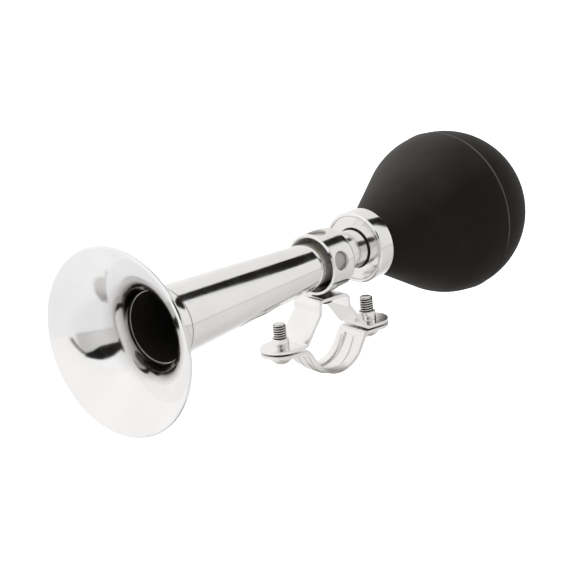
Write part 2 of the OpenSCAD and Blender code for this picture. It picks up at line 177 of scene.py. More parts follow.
def from_cad(name, node, materials, width, segments=3, feature=26.0, angle=40.0):
    """A copy of a CAD node's mesh with its sharp edges broken, as pressed and plated sheet has."""
    bm = bmesh.new()
    bm.from_mesh(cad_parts[node].data)
    bmesh.ops.remove_doubles(bm, verts=bm.verts, dist=2e-6)
    bmesh.ops.dissolve_limit(bm, angle_limit=math.radians(0.4), verts=bm.verts, edges=bm.edges)
    sharp = [e for e in bm.edges if len(e.link_faces) == 2 and e.calc_face_angle(0) > math.radians(feature)]
    bmesh.ops.bevel(bm, geom=sharp, offset=width * MM, segments=segments, profile=0.5, affect="EDGES",
                    clamp_overlap=True, offset_type="OFFSET")
    for f in bm.faces:
        f.material_index = 0
        f.smooth = True
    obj = finish_mesh(name, bm, materials, angle, merge=1e-6)
    weigh = obj.modifiers.new("even_normals", "WEIGHTED_NORMAL")
    weigh.keep_sharp = True
    weigh.weight = 80
    return obj


# Materials

class Nodes:
    """Short hand for building a material's or world's node tree."""

    def __init__(self, tree):
        self.tree = tree
        tree.nodes.clear()

    def add(self, kind, **values):
        node = self.tree.nodes.new("ShaderNode" + kind)
        for k, v in values.items():
            if hasattr(node, k) and k not in node.inputs:
                setattr(node, k, v)
            else:
                self.put(node.inputs[k], v)
        return node

    def put(self, socket, value):
        if isinstance(value, bpy.types.NodeSocket):
            self.tree.links.new(value, socket)
        else:
            socket.default_value = value

    def math(self, operation, a, b=0.0, c=None):
        node = self.tree.nodes.new("ShaderNodeMath")
        node.operation = operation
        self.put(node.inputs[0], a)
        if len(node.inputs) > 1:
            self.put(node.inputs[1], b)
        if c is not None:
            self.put(node.inputs[2], c)
        return node.outputs[0]

    def ramp(self, fac, stops):
        node = self.tree.nodes.new("ShaderNodeValToRGB")
        elements = node.color_ramp.elements
        while len(elements) < len(stops):
            elements.new(0.5)
        for element, (place, c) in zip(elements, stops):
            element.position = place
            element.color = (c, c, c, 1) if isinstance(c, (int, float)) else (*c, 1)
        self.put(node.inputs[0], fac)
        return node.outputs[0]

    def mix(self, fac, a, b):
        node = self.tree.nodes.new("ShaderNodeMix")
        node.data_type = "RGBA"
        self.put(node.inputs[0], fac)
        self.put(node.inputs[6], a)
        self.put(node.inputs[7], b)
        return node.outputs[2]

    def remap(self, value, a, b, lo=0.0, hi=1.0, smooth=True):
        node = self.tree.nodes.new("ShaderNodeMapRange")
        node.interpolation_type = "SMOOTHSTEP" if smooth else "LINEAR"
        for s, v in zip(node.inputs, (value, a, b, lo, hi)):
            self.put(s, v)
        return node.outputs[0]

    def surface(self, kind, shader):
        """Makes the tree's output node and links the shader to it."""
        self.put(self.add(kind).inputs["Surface"], shader.outputs[0])


def material(name):
    m = bpy.data.materials.new(name)
    m.use_nodes = True
    return m, Nodes(m.node_tree)


def horn_space(n, stretch):
    """Object coordinates turned so that X runs along the horn, scaled by stretch."""
    coord = n.add("TexCoord").outputs["Object"]
    turned = n.add("Mapping", vector_type="TEXTURE", Vector=coord, Rotation=(0, 0, YAW)).outputs[0]
    return n.add("Mapping", Vector=turned, Scale=stretch).outputs[0]


def horn_place(n):
    """Along the horn, beside it and up, in millimetres from the frame's origin."""
    return n.add("SeparateXYZ", Vector=horn_space(n, (1 / MM, 1 / MM, 1 / MM))).outputs


def horn_noise(n, stretch, detail, roughness=0.5):
    return n.add("TexNoise", Vector=horn_space(n, stretch), Scale=1.0, Detail=detail,
                 Roughness=roughness).outputs[0]


def horn_cells(n, density):
    """Distance from the nearest of many scattered points."""
    at = horn_space(n, (density, density, density))
    return n.add("TexVoronoi", Vector=at, Scale=1.0).outputs["Distance"]


def axis_distance(n, lift):
    """Distance from the horn's axis in millimetres, or from a line lift above it where that is nearer."""
    at = horn_place(n)
    found = []
    for axis_z in (HORN_Z, HORN_Z + lift):
        up = n.math("SUBTRACT", at[2], axis_z)
        square = n.math("ADD", n.math("MULTIPLY", at[1], at[1]), n.math("MULTIPLY", up, up))
        found.append(n.math("SQRT", square))
    return n.math("MINIMUM", found[0], found[1])


def from_point(n, x, y, z):
    """Distance in millimetres from a point given along the horn, beside it and up."""
    at = horn_place(n)
    total = None
    for out, v in zip(at, (x, y, z)):
        away = n.math("SUBTRACT", out, v)
        square = n.math("MULTIPLY", away, away)
        total = square if total is None else n.math("ADD", total, square)
    return n.math("SQRT", total)


# colour of the painted shade mixed into the chrome
SHADE_TONE = (0.05, 0.045, 0.04, 1)
# painted shade round the bell's throat, and the paler painted half-shade round it
THROAT_SHADE, THROAT_HALF_SHADE = (0.05, 0.044, 0.038, 1), (0.35, 0.325, 0.305, 1)


def paint_shade(n, colour, distance, inner, outer, amount, dirt_and_shade=SHADE_TONE):
    """Mixes painted shade into a colour, less and less as the distance goes from inner to outer."""
    return n.mix(n.remap(distance, inner, outer, amount, 0.0), colour, dirt_and_shade)


def chrome(name, tint, rough, along, grain, specks=0.5, throat_shade=None, shade_spot=None, rib_shade=None, joint=None):
    """Plated metal: fine polishing lines, cloudy wear in the gloss, a few faint scratches and specks.

    stain gives two radii between which painted shade darkens the plating towards the horn's axis, less on the
    near side, with a paler painted half-shade round it;
    grime is (x, y, z, inner, outer, amount): painted shade in streaks round that place;
    joint is (along, half width, amount): a painted shade line where two pieces meet;
    band is (side, inner, outer, amount): painted shade in two lines along the strap's rib, on its lower part.
    """
    m, n = material(name)
    lines = horn_noise(n, along, 6.0, 0.62)
    cloud = horn_noise(n, (55, 55, 55), 4.0)
    fine = horn_noise(n, (900, 900, 900), 3.0)
    scratch = n.remap(horn_noise(n, (300, 2600, 1400), 2.0), 0.70, 0.76)
    speck = n.remap(horn_cells(n, 420), 0.05, 0.11, 1.0, 0.0)
    dirt_and_shade = n.math("MULTIPLY", speck, n.remap(cloud, 0.52, 0.68, 0.0, specks))
    bright = n.remap(cloud, 0.35, 0.7, 0.97, 1.03, smooth=False)
    base = n.add("VectorMath", operation="SCALE").outputs[0]
    n.put(base.node.inputs[0], tint)
    n.put(base.node.inputs["Scale"], bright)
    colour = n.mix(dirt_and_shade, base, (tint[0] * 0.62, tint[1] * 0.58, tint[2] * 0.54, 1))
    # painted shade in a ring round the throat, darkest towards the axis and less on the near side
    if throat_shade:
        inner, outer = throat_shade
        ring = n.math("MULTIPLY_ADD", n.math("SUBTRACT", cloud, 0.5), 0.4, axis_distance(n, 0.9))
        ring = n.math("ADD", ring, n.remap(horn_place(n)[1], -8.0, 3.0, 1.5, 0.0))
        colour = paint_shade(n, colour, ring, outer - 0.4, outer + 4.2, 0.5, THROAT_HALF_SHADE)
        colour = paint_shade(n, colour, ring, inner, outer, 0.93, THROAT_SHADE)
    # painted shade in streaks round one place
    if shade_spot:
        *middle, inner, outer, amount = shade_spot
        away = n.math("MULTIPLY_ADD", n.math("SUBTRACT", lines, 0.5), 5.0, from_point(n, *middle))
        colour = paint_shade(n, colour, away, inner, outer, amount)
    # painted shade line round the horn at one place along it
    if joint:
        line, half, amount = joint
        away = n.math("ABSOLUTE", n.math("SUBTRACT", horn_place(n)[0], line))
        colour = paint_shade(n, colour, away, half * 0.5, half, amount)
    # painted shade in two lines along the rib's flanks, low on the strap
    if rib_shade:
        side, inner, outer, amount = rib_shade
        at = horn_place(n)
        away = n.math("ABSOLUTE", n.math("ADD", at[1], 0.5))
        away = n.math("ABSOLUTE", n.math("SUBTRACT", away, side))
        low = n.remap(at[2], -3.6, -2.6, amount, 0.0)
        colour = n.mix(n.math("MULTIPLY", low, n.remap(away, inner, outer, 1.0, 0.0)), colour, SHADE_TONE)
    r = n.math("MULTIPLY_ADD", n.remap(cloud, 0.4, 0.72), 0.05, rough)
    r = n.math("MULTIPLY_ADD", lines, 0.05, r)
    r = n.math("MULTIPLY_ADD", scratch, 0.12, r)
    r = n.math("MULTIPLY_ADD", dirt_and_shade, 0.25, r)
    height = n.math("ADD", n.math("MULTIPLY", lines, 0.5), n.math("MULTIPLY", fine, 0.25))
    height = n.math("SUBTRACT", height, n.math("MULTIPLY", scratch, 0.5))
    bump = n.add("Bump", Strength=grain, Distance=0.0002, Height=height).outputs[0]
    shader = n.add("BsdfPrincipled", Metallic=1.0, Roughness=r, Normal=bump)
    n.put(shader.inputs["Base Color"], colour)
    n.surface("OutputMaterial", shader)
    return m


def dull_metal(name, tint, rough, metallic=1.0, lines=(200, 200, 200)):
    """Unpolished metal: mottled colour and gloss."""
    m, n = material(name)
    mottle = horn_noise(n, (260, 260, 260), 6.0)
    draw = horn_noise(n, lines, 4.0)
    colour = n.mix(n.remap(mottle, 0.3, 0.75), (*tint, 1), (tint[0] * 0.7, tint[1] * 0.66, tint[2] * 0.6, 1))
    r = n.math("MULTIPLY_ADD", mottle, 0.2, rough - 0.1)
    bump = n.add("Bump", Strength=0.15, Distance=0.0002, Height=n.math("ADD", mottle, draw)).outputs[0]
    shader = n.add("BsdfPrincipled", Metallic=metallic, Roughness=r, Normal=bump)
    n.put(shader.inputs["Base Color"], colour)
    n.surface("OutputMaterial", shader)
    return m


# painted sheen on the bulb: places on a line that rises to its upper far side, in millimetres, and the grey
# added there
SHEEN_STOPS = ((0, 0.001), (10, 0.0055), (20, 0.009), (27, 0.016), (34, 0.024), (41, 0.029), (45, 0.037), (52, 0.11))
SHEEN_SPAN = 60


def rubber(name, tint, rough, level=0.2, seam=None):
    """Moulded rubber: fine matte grain, slight mould marks, painted sheen on its upper far side and a painted
    highlight along the parting line at seam.
    """
    m, n = material(name)
    grain = horn_noise(n, (2600, 2600, 2600), 3.0)
    patch = horn_noise(n, (70, 70, 70), 5.0, 0.6)
    pore = horn_cells(n, 1500)
    bloom = n.remap(patch, 0.42, 0.74)
    colour = n.mix(bloom, (*tint, 1), (tint[0] * 1.7, tint[1] * 1.7, tint[2] * 1.75, 1))
    if seam:
        at = horn_place(n)
        along = n.math("SUBTRACT", at[0], seam)
        up = n.math("SUBTRACT", at[2], HORN_Z)
        # a line rising towards the bulb's upper far side, along which the painted sheen grows
        top = n.math("MULTIPLY_ADD", along, -0.25, n.math("MULTIPLY", up, 1.2))
        top = n.math("ADD", top, n.math("MULTIPLY_ADD", n.math("SUBTRACT", patch, 0.5), 9.0, at[1]))
        sheen = n.ramp(n.math("MULTIPLY", top, 1 / SHEEN_SPAN),
                      [(place / SHEEN_SPAN, (v, v * 0.985, v * 0.97)) for place, v in SHEEN_STOPS])
        sheened = n.add("VectorMath", operation="ADD").outputs[0]
        n.put(sheened.node.inputs[0], colour)
        n.put(sheened.node.inputs[1], sheen)
        # painted highlight along the parting line's ridge, fading towards the bottom
        ridge_glint = n.remap(n.math("ABSOLUTE", along), 0.15, 0.5, 1.0, 0.0)
        ridge_glint = n.math("MULTIPLY", ridge_glint, n.remap(up, -16.0, -4.0, 0.1, 1.0))
        ridge_glint = n.math("MULTIPLY", ridge_glint, n.remap(patch, 0.3, 0.6, 0.6, 1.0))
        colour = n.mix(ridge_glint, sheened, (0.105, 0.1, 0.095, 1))
    r = n.math("MULTIPLY_ADD", bloom, 0.08, rough)
    r = n.math("MULTIPLY_ADD", grain, 0.06, r)
    height = n.math("ADD", n.math("MULTIPLY", grain, 0.6), n.math("MULTIPLY", n.remap(pore, 0.0, 0.35), 0.5))
    height = n.math("ADD", height, n.math("MULTIPLY", patch, 1.2))
    bump = n.add("Bump", Strength=0.12, Distance=0.0002, Height=height).outputs[0]
    shader = n.add("BsdfPrincipled", Roughness=r, Normal=bump)
    n.put(shader.inputs["Base Color"], colour)
    shader.inputs["Specular IOR Level"].default_value = level
    n.surface("OutputMaterial", shader)
    return m


BELL_MAT = chrome("bell_chrome_look", (0.93, 0.93, 0.93), 0.05, along=(500, 500, 500), grain=0.015)
# the throat's chrome, with painted shade round the throat
THROAT_MAT = chrome("bell_throat_look", (0.93, 0.93, 0.93), 0.07, along=(500, 500, 500), grain=0.015,
                    throat_shade=(12.7, 13.5))
EDGE_MAT = dull_metal("tube_edge_look", (0.5, 0.48, 0.45), 0.3)
# the tube's chrome, with a painted shade line just behind the bell's sleeve end
TUBE_MAT = chrome("tube_chrome_look", (0.92, 0.92, 0.915), 0.06, along=(30, 1500, 1500), grain=0.03,
                  joint=(SLEEVE_END + 1.0, 0.35, 0.6))
COLLAR_MAT = chrome("collar_chrome_look", (0.9, 0.9, 0.895), 0.08, along=(1500, 300, 300), grain=0.04)
FERRULE_MAT = chrome("ferrule_chrome_look", (0.91, 0.91, 0.905), 0.08, along=(1500, 300, 300), grain=0.04)
CLAMP_MAT = chrome("clamp_chrome_look", (0.93, 0.925, 0.92), 0.14, along=(700, 160, 700), grain=0.08,
                   specks=0.8)
SCREW_MAT = chrome("screw_steel_look", (0.82, 0.81, 0.79), 0.16, along=(700, 700, 700), grain=0.08,
                   specks=0.9)
SATIN_MAT = chrome("collar_inside_look", (0.5, 0.495, 0.485), 0.36, along=(1500, 200, 200), grain=0.1,
                   specks=0.9)
RECESS_MAT = dull_metal("collar_recess_look", (0.8, 0.78, 0.76), 0.6, metallic=0.3,
                        lines=(1500, 200, 200))
NECK_MAT = chrome("neck_chrome_look", (0.9, 0.895, 0.885), 0.14, along=(1500, 300, 300), grain=0.05)
FACE_MAT = chrome("ferrule_face_look", (0.88, 0.875, 0.865), 0.08, along=(500, 500, 500), grain=0.05,
                  specks=0.7)
# the strap's chrome, with painted shade on its underside and along its rib's flanks
STRAP_MAT = chrome("strap_chrome_look", (0.9, 0.89, 0.88), 0.22, along=(160, 900, 160), grain=0.12,
                   specks=0.9, shade_spot=(-4, -6, -12.5, 2.5, 9, 0.55), rib_shade=(2.9, 0.15, 0.6, 0.4))
# near-black thread roots: painted shade in the thread's grooves
THREAD_SHADE_MAT = dull_metal("screw_root_shade_look", (0.1, 0.095, 0.09), 0.5)
INSIDE_MAT = dull_metal("tube_inside_look", (0.035, 0.032, 0.029), 0.55, metallic=0.6,
                        lines=(30, 900, 900))
# near-black rivet and washer: painted shade under the collar
RIVET_SHADE_MAT = dull_metal("rivet_shade_look", (0.1, 0.097, 0.093), 0.4)
BRASS_MAT = dull_metal("reed_brass_look", (0.72, 0.52, 0.22), 0.28, lines=(30, 900, 900))
GASKET_MAT = rubber("gasket_rubber_look", (0.012, 0.011, 0.011), 0.5)
# the bulb's rubber, with painted sheen on top and a painted highlight along its parting line
BULB_MAT = rubber("bulb_rubber_look", (0.0068, 0.0048, 0.0032), 0.56, level=0.15, seam=BULB_U)


# Bell

# steps of the flare, and the radius out to which the bell takes the throat's painted-shade material
FLARE_STEPS, SHADE_R = 64, 19


def bell_profile():
    """Closed outline of the spun bell: inner face, lip rolled to the back, outer face and sleeve."""
    lip, lip_steps = 0.74, 24
    lip_at = Vector((RIM_R - lip, RIM_U + lip))
    start, power, corner = 0.3, 2.3, 0.5
    slope = math.atan2(1, 2.0)
    touch = lip_at + Vector((-math.sin(slope), -math.cos(slope))) * lip
    spread, depth = touch.x - THROAT_R, touch.y - THROAT_U
    inner = []
    for k in range(FLARE_STEPS + 1):
        s = (k / FLARE_STEPS) ** 1.15
        opened = start * s + (1 - start) * s ** power
        round_off = start * corner / spread * math.exp(s * depth / corner)
        inner.append(Vector((THROAT_R + spread * (opened - round_off * (1 - s)), THROAT_U + depth * s)))
    outer = []
    for k in range(FLARE_STEPS, -1, -1):
        a, b = inner[max(k - 1, 0)], inner[min(k + 1, FLARE_STEPS)]
        d = (b - a).normalized()
        outer.append(inner[k] + Vector((-d.y, d.x)) * BELL_WALL)
    roll = []
    first, sweep = math.atan2(-math.cos(slope), -math.sin(slope)), math.radians(285)
    for k in range(1, lip_steps + 1):
        a = first + sweep * k / lip_steps
        roll.append(lip_at + Vector((math.cos(a), math.sin(a))) * lip)
    while outer and (outer[0] - lip_at).length < lip + 0.05:
        outer.pop(0)
    end_r = tube_r(SLEEVE_END)
    sleeve = [Vector((tube_r(SLEEVE_END + 0.25) + FIT + BELL_WALL, SLEEVE_END - 0.3)),
              Vector((end_r + BELL_WALL - 0.04, SLEEVE_END - 0.08)),
              Vector((end_r + 0.35, SLEEVE_END)),
              Vector((end_r + FIT, SLEEVE_END)),
              Vector((tube_r(TUBE_FRONT) + FIT, TUBE_FRONT))]
    return [(p.x, p.y) for p in inner + roll + outer + sleeve]


bell_outline = bell_profile()
flare = bell_outline[:FLARE_STEPS + 1]
flare_places = {((a[0] + b[0]) / 2, (a[1] + b[1]) / 2) for a, b in zip(flare, flare[1:])}


def in_throat(r, u):
    """Inner face of the bell out to the radius where the painted shade ends, and the short bore behind it."""
    if r > SHADE_R or u > SLEEVE_END - 0.4:
        return 0
    return 1 if r < THROAT_R + 0.25 or (r, u) in flare_places else 0


bell = lathe("bell", bell_outline, [BELL_MAT, THROAT_MAT], segs=320, inside=in_throat, angle=50)
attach(bell, "horn")
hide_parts("bell_flare")


# Tube, neck and ferrule

def tube_profile():
    return rounded([(TUBE_R0 - TUBE_WALL, TUBE_FRONT, 0.2), (TUBE_R0, TUBE_FRONT, 0.2),
                    (TUBE_R1, TUBE_REAR, 0.1), (TUBE_R1 - TUBE_WALL, TUBE_REAR, 0.1)])


def tube_side(r, u):
    """0 for the outside of the tube, 1 for its bore, 2 for its cut front edge."""
    if u < TUBE_FRONT + 0.25:
        return 2
    return 1 if r < tube_r(u) - TUBE_WALL * 0.8 else 0


tube = lathe("tube", tube_profile(), [TUBE_MAT, INSIDE_MAT, EDGE_MAT], segs=288, inside=tube_side)
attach(tube, "horn")
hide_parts("horn_tube")


BARBS, BARB_STEP = 3, 2.2
# how far the black ring stands out, the dark seam's width and depth, and the seat of the bulb's bead
RING_OUT, SEAM_WIDTH, SEAM_DEPTH, BEAD_SEAT = 0.4, 0.25, 0.5, 1.75


def neck_profile():
    """Neck tube with its screwed front end and the barbed end that holds the bulb."""
    barbs = []
    for i in range(BARBS):
        rear = SPIGOT_REAR - i * BARB_STEP
        barbs += [(SPIGOT_R, rear, 0.1), (NECK_R - FIT, rear - BARB_STEP, 0.15)]
    front = TUBE_REAR + 0.1
    return rounded([(NECK_BORE, SPIGOT_REAR, 0.2)] + barbs +
                   [(SPIGOT_R, SPIGOT_REAR - BARBS * BARB_STEP - 0.05, 0.1), (SPIGOT_R, SHELL_REAR, 0.1),
                    (NECK_R, SHELL_REAR, 0.1), (NECK_R, COLLAR_REAR, 0.05), (NECK_SCREW_R, COLLAR_REAR, 0.05),
                    (NECK_SCREW_R, front, 0.2), (NECK_BORE, front, 0.2)], steps=4)


def gasket_profile():
    inner, front = NECK_R + FIT, FACE_FRONT - RING_OUT
    return rounded([(inner, front, 0.08), (GASKET_R, front, 0.15), (GASKET_R, FACE_REAR, 0.1),
                    (inner, FACE_REAR, 0.1)])


def face_profile():
    """Flat ring with a step at its rim, which leaves a dark seam inside the shell's lip."""
    inner, outer, rim = GASKET_R + FIT, LIP_BORE - FIT, LIP_BORE - SEAM_WIDTH
    seam = FACE_FRONT + SEAM_DEPTH
    return rounded([(inner, FACE_FRONT, 0.15), (rim, FACE_FRONT, 0.2), (rim, seam, 0.05), (outer, seam, 0.05),
                    (outer, FACE_REAR, 0.05), (inner, FACE_REAR, 0.05)])


def shell_profile():
    bore, seat = BULB_NECK_R + 0.1, SHELL_REAR - BEAD_SEAT
    return rounded([(LIP_BORE, SHELL_FRONT, 0.3), (SHELL_R, SHELL_FRONT, 1.1), (SHELL_R, SHELL_REAR, 0.4),
                    (bore, SHELL_REAR, 0.3), (bore, seat, 0.1), (SHELL_BORE, seat, 0.1),
                    (SHELL_BORE, FACE_REAR, 0.05), (LIP_BORE, FACE_REAR, 0.05)], steps=8)


neck = lathe("neck", neck_profile(), [NECK_MAT], segs=192)
gasket = lathe("neck_ring", gasket_profile(), [GASKET_MAT], segs=192)
face = lathe("ferrule_front", face_profile(), [FACE_MAT], segs=256)
shell = lathe("ferrule_ring", shell_profile(), [FERRULE_MAT], segs=288)
for obj, node, slot in ((neck, "neck_tube", "collar_chrome"), (gasket, "neck_gasket", "gasket_rubber"),
                        (face, "ferrule_face", "ferrule_chrome"), (shell, "ferrule_shell", "ferrule_chrome")):
    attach(obj, "horn")
    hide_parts(node)


# Collar with its side holes

def holed_band(bm, radius, u_lo, u_hi, hole, across=48, along=14, rows=8):
    """Four cylinder patches of 90 degrees, each with a round hole.

    Returns the middle angle, the directions and the edge vertices of each hole.
    """
    edges = []
    for sector in range(4):
        mid = math.pi / 2 * sector - (HOLE_TURN if sector % 2 == 0 else 0)
        low, high = math.pi / 2 * sector - math.pi / 4 - mid, math.pi / 2 * sector + math.pi / 4 - mid
        wide, deep = high - low, u_hi - u_lo
        border = [(low + wide * k / across, u_lo) for k in range(across)]
        border += [(high, u_lo + deep * k / along) for k in range(along)]
        border += [(high - wide * k / across, u_hi) for k in range(across)]
        border += [(low, u_hi - deep * k / along) for k in range(along)]
        grid = []
        for t, u in border:
            phi = math.atan2(u, t * radius)
            th, uh = math.asin(hole * math.cos(phi) / radius), hole * math.sin(phi)
            line = []
            for row in range(rows + 1):
                w = (row / rows) ** 1.5
                turn, place = mid + (th + (t - th) * w), uh + (u - uh) * w
                line.append(bm.verts.new(on_horn(place, radius * math.cos(turn), radius * math.sin(turn))))
            grid.append(line)
        for i in range(len(grid)):
            a, b = grid[i], grid[(i + 1) % len(grid)]
            for row in range(rows):
                bm.faces.new((a[row], b[row], b[row + 1], a[row + 1]))
        edges.append((mid, [math.atan2(u, t * radius) for t, u in border], [line[0] for line in grid]))
    return edges


def hole_wall(bm, mid, phis, top, bottom, hole, outer, inner, edge, lower_edge, steps=5):
    """Wall of one hole between the two bands, with both edges broken."""
    rows = [top]
    across, up = (SIDE * math.cos(mid + math.pi / 2) + UP * math.sin(mid + math.pi / 2),
                  SIDE * math.cos(mid) + UP * math.sin(mid))

    def ring(rho, drop, base):
        verts = []
        for phi in phis:
            y = rho * math.cos(phi)
            h = math.sqrt(base * base - y * y) - drop
            verts.append(bm.verts.new((ORIGIN + AXIS * (rho * math.sin(phi)) + across * y + up * h) * MM))
        return verts

    for k in range(1, steps + 1):
        a = math.pi / 2 * k / steps
        rows.append(ring(hole + edge * (1 - math.sin(a)), edge * (1 - math.cos(a)), outer))
    for k in range(steps, 0, -1):
        a = math.pi / 2 * k / steps
        rows.append(ring(hole + lower_edge * (1 - math.sin(a)), -lower_edge * (1 - math.cos(a)), inner))
    rows.append(bottom)
    for a, b in zip(rows, rows[1:]):
        for i in range(len(phis)):
            j = (i + 1) % len(phis)
            bm.faces.new((a[i], a[j], b[j], b[i]))


def lining(bm, r_in, r_out, u_lo, u_hi, start, end, segs, index_in, index_out):
    """Thin sleeve inside the collar that closes its holes, left open round the swivel's rivet."""
    rows = []
    for k in range(segs + 1):
        t = start + (end - start) * k / segs
        rows.append([bm.verts.new(on_horn(u, r * math.cos(t), r * math.sin(t)))
                     for r, u in ((r_in, u_lo), (r_in, u_hi), (r_out, u_hi), (r_out, u_lo))])
    for a, b in zip(rows, rows[1:]):
        for i in range(4):
            j = (i + 1) % 4
            bm.faces.new((a[i], b[i], b[j], a[j])).material_index = index_out if i == 2 else index_in
    bm.faces.new(rows[0]).material_index = index_in
    bm.faces.new(rows[-1]).material_index = index_in


def make_collar():
    """Turned ring with side holes, open at the front, with a web at the rear that holds tube and neck."""
    segs, u_lo, u_hi, edge, lower = 192, -3.8, 4.4, 0.22, 0.1
    plated, satin, recess = range(3)
    bm = bmesh.new()
    outer = holed_band(bm, COLLAR_R, u_lo, u_hi, HOLE_R + edge)
    bm.faces.ensure_lookup_table()
    count = len(bm.faces)
    inner = holed_band(bm, COLLAR_BORE, u_lo, u_hi, HOLE_R + lower)
    for (mid, phis, top), (_, _, bottom) in zip(outer, inner):
        hole_wall(bm, mid, phis, top, bottom, HOLE_R, COLLAR_R, COLLAR_BORE, edge, lower)
    for f in list(bm.faces)[count:]:
        outside = all((v.co / MM - ORIGIN).cross(AXIS).length > COLLAR_R - 0.3 for v in f.verts)
        f.material_index = plated if outside else recess
    ring = rounded([(COLLAR_R, u_lo), (COLLAR_R, COLLAR_FRONT, 0.5), (COLLAR_BORE, COLLAR_FRONT, 0.3),
                    (COLLAR_BORE, u_lo)], steps=8)

    def front_look(r, u):
        return recess if r < COLLAR_BORE + 0.12 else plated

    def rear_look(r, u):
        return recess if u < COLLAR_REAR - 0.2 and r < COLLAR_R - 0.3 else plated

    lathe_into(bm, ring, segs, closed=False, inside=front_look)
    seat, screwed = tube_r(WEB_U) + FIT, NECK_SCREW_R + FIT
    rear = rounded([(COLLAR_BORE, u_hi), (COLLAR_BORE, WEB_U, 0.1), (seat, WEB_U, 0.05),
                    (seat, TUBE_REAR, 0.05), (screwed, TUBE_REAR, 0.05), (screwed, COLLAR_REAR, 0.1),
                    (COLLAR_R, COLLAR_REAR, 1.5), (COLLAR_R, u_hi)], steps=10)
    lathe_into(bm, rear, segs, closed=False, inside=rear_look)
    lining(bm, COLLAR_BORE - 0.3, COLLAR_BORE - 0.03, u_lo + 0.2, WEB_U - 0.1, -math.pi / 2 + LINING_GAP,
           math.pi * 3 / 2 - LINING_GAP, 150, recess, satin)
    return finish_mesh("collar_body", bm, [COLLAR_MAT, SATIN_MAT, RECESS_MAT], angle=40, merge=2e-6)


collar = make_collar()
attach(collar, "horn")
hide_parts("collar")


# Rubber bulb

RIDGE, RIDGE_WIDTH = 0.2, 0.34


def ball_radius(a):
    """Radius of the ball, with the raised parting line, at an angle from the rear pole."""
    return BULB_R + RIDGE * math.exp(-(((a - math.pi / 2) * BULB_R) / RIDGE_WIDTH) ** 2)


def cone_lean(ball, neck, reach):
    """How far a cone that starts at the neck's radius opens to touch the ball, and its length."""
    far = math.hypot(reach, neck)
    return math.asin(ball / far) - math.atan2(neck, reach), math.sqrt(far * far - ball ** 2)


def bulb_profile():
    """Closed outline: bead in the ferrule, neck, cone, ball with its parting line, and the hollow."""
    bead_front, bead_rear, bead_r, bead_edge = FACE_REAR + 0.1, SHELL_REAR - 1.85, SHELL_BORE - 0.1, 0.3
    bore, cone, cavity = NECK_R + 0.1, SHELL_REAR + 0.6, SPIGOT_REAR - 1.5
    cone_steps, ball_steps, hollow_steps = 22, 150, 40
    lean, run = cone_lean(BULB_R, BULB_NECK_R, BULB_U - cone)
    points = [(bore, bead_front), (bead_r - bead_edge, bead_front), (bead_r, bead_front + bead_edge),
              (bead_r, bead_rear - bead_edge), (bead_r - bead_edge, bead_rear), (BULB_NECK_R, bead_rear),
              (BULB_NECK_R, cone)]
    for k in range(1, cone_steps):
        d = run * k / cone_steps
        points.append((BULB_NECK_R + d * math.sin(lean), cone + d * math.cos(lean)))
    for k in range(ball_steps + 1):
        a = (math.pi / 2 + lean) * (1 - k / ball_steps)
        points.append((ball_radius(a) * math.sin(a), BULB_U + ball_radius(a) * math.cos(a)))
    inner = BULB_R - BULB_WALL
    lean, _ = cone_lean(inner, bore, BULB_U - cavity)
    for k in range(hollow_steps + 1):
        a = (math.pi / 2 + lean) * k / hollow_steps
        points.append((inner * math.sin(a), BULB_U + inner * math.cos(a)))
    points.append((bore, cavity))
    return [(max(r, 0.0), u) for r, u in points]


def uneven_parting(bm):
    """Makes the parting line's crest slightly uneven."""
    for v in bm.verts:
        p = v.co / MM - ORIGIN
        u = p.dot(AXIS)
        out = p - AXIS * u
        if abs(u - BULB_U) < 0.5 and out.length > BULB_R:
            wobble = noise.noise(out * 0.35) * 0.05
            v.co = (ORIGIN + AXIS * u + out * (1 + wobble / out.length)) * MM


def make_bulb():
    """The bulb, with three more rings between each two near the parting line."""
    points = bulb_profile()
    dense = []
    for (r0, u0), (r1, u1) in zip(points, points[1:] + points[:1]):
        dense.append((r0, u0))
        if min(r0, r1) > BULB_R - 0.4 and abs((u0 + u1) / 2 - BULB_U) < 1.6:
            for k in range(1, 4):
                u = u0 + (u1 - u0) * k / 4
                a = math.acos((u - BULB_U) / BULB_R)
                dense.append((ball_radius(a) * math.sin(a), u))
    bm = bmesh.new()
    lathe_into(bm, dense, 224)
    uneven_parting(bm)
    return finish_mesh("bulb_body", bm, [BULB_MAT], angle=60)


bulb = make_bulb()
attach(bulb, "bulb")
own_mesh(bulb)
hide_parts("rubber_bulb")


# Clamp

bracket = from_cad("clamp_upper", "clamp_bracket", [CLAMP_MAT], 0.28)
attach(bracket, "bracket")
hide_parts("clamp_bracket")


def bent_path(points):
    """Mid line of a bent strip in the X and Z plane: (x, z, bend radius) corners, then evenly cut."""
    out = []
    for i, (x, z, radius) in enumerate(points):
        p = Vector((x, z))
        if radius <= 0:
            out.append(p)
            continue
        a, b = Vector(points[i - 1][:2]), Vector(points[i + 1][:2])
        da, db = (a - p).normalized(), (b - p).normalized()
        half = da.angle(db) / 2
        centre = p + (da + db).normalized() * (radius / math.sin(half))
        start, end = p + da * radius / math.tan(half) - centre, p + db * radius / math.tan(half) - centre
        turn = start.angle_signed(end)
        steps = max(4, int(abs(turn) * max(radius, 4) / 0.45))
        for k in range(steps + 1):
            c, s = math.cos(-turn * k / steps), math.sin(-turn * k / steps)
            out.append(centre + Vector((c * start.x - s * start.y, s * start.x + c * start.y)))
    return out


